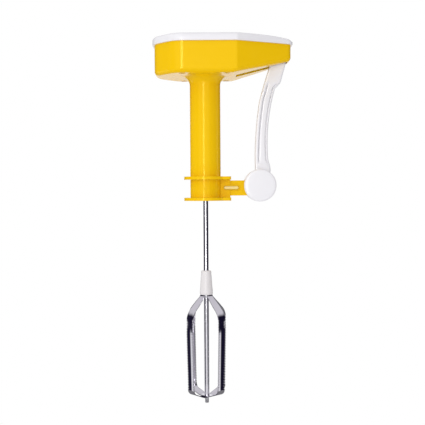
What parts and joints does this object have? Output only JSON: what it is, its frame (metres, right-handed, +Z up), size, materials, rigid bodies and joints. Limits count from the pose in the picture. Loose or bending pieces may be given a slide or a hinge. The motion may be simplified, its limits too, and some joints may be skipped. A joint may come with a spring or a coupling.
{
  "type": "squeeze-lever egg beater",
  "caption": "Hand egg beater worked by squeezing a lever beside its tubular handle: rack and gears in the flat head spin a long shaft with a cage of serrated strap blades.",
  "frame": {"origin": "tip of the beater, on the shaft axis", "axes": "+Z up the shaft to the head, +X from the shaft towards the squeeze lever, +Y across the head"},
  "size_m": [0.1382, 0.078, 0.3654],
  "materials": {
    "yellow_plastic": "glossy injection-moulded plastic",
    "white_plastic": "glossy injection-moulded plastic",
    "hub_plastic": "satin moulded plastic, slightly warm",
    "bright_steel": "bright drawn and polished",
    "strap_steel": "rolled strip with stamped edges",
    "zinc_steel": "zinc plated",
    "spring_steel": "drawn wire",
    "bush_brass": "turned",
    "gear_nylon": "natural nylon"
  },
  "bodies": {
    "head_and_handle": {"housing": "yellow_plastic", "lid": "white_plastic", "lid_screws": "zinc_steel", "plate_screws": "zinc_steel", "gear_plate": "zinc_steel", "pivot_collar": "yellow_plastic", "lower_bush": "bush_brass", "upper_bush": "bush_brass", "bush_pin": "yellow_plastic", "wheel_axle": "bright_steel", "wheel_washer": "zinc_steel", "thrust_washer": "zinc_steel", "return_spring": "spring_steel"},
    "squeeze_lever": {"lever": "white_plastic", "near_cap": "white_plastic", "far_cap": "white_plastic", "pivot_pin": "bright_steel"},
    "rack_bar": {"rack": "gear_nylon"},
    "wheel": {"drive_wheel": "gear_nylon"},
    "beater": {"beater_shaft": "bright_steel", "shaft_pinion": "gear_nylon", "pinion_pin": "bright_steel", "shaft_clip": "zinc_steel", "beater_hub": "hub_plastic", "hub_pin": "bright_steel", "lower_blade_strap": "strap_steel", "upper_blade_strap": "strap_steel", "tip_ferrule": "bright_steel"}
  },
  "joints": [
    {"name": "beater_spin", "type": "hinge", "parent": "head_and_handle", "child": "beater", "pos_m": [0, 0, 0.1], "axis": [0, 0, 1], "range_deg": [0, 1117]},
    {"name": "lever_squeeze", "type": "hinge", "parent": "head_and_handle", "child": "squeeze_lever", "pos_m": [0.054, 0, 0.218], "axis": [0, -1, 0], "range_deg": [0, 15.5], "stiffness_Nm_per_rad": 2, "springref_deg": -10.89, "deforming": ["return_spring"]},
    {"name": "rack_slide", "type": "slide", "parent": "head_and_handle", "child": "rack_bar", "axis": [-1, 0, 0], "range_m": [0, 0.0351]},
    {"name": "wheel_spin", "type": "hinge", "parent": "head_and_handle", "child": "wheel", "pos_m": [0, 0.0182, 0.34], "axis": [0, 0, -1], "range_deg": [0, 335.1]}
  ],
  "couplings": [
    {"joint": "lever_squeeze", "follows": "beater_spin", "ratio": 0.013867},
    {"joint": "rack_slide", "follows": "beater_spin", "m_per_rad": 0.0018},
    {"joint": "wheel_spin", "follows": "beater_spin", "ratio": 0.3}
  ]
}
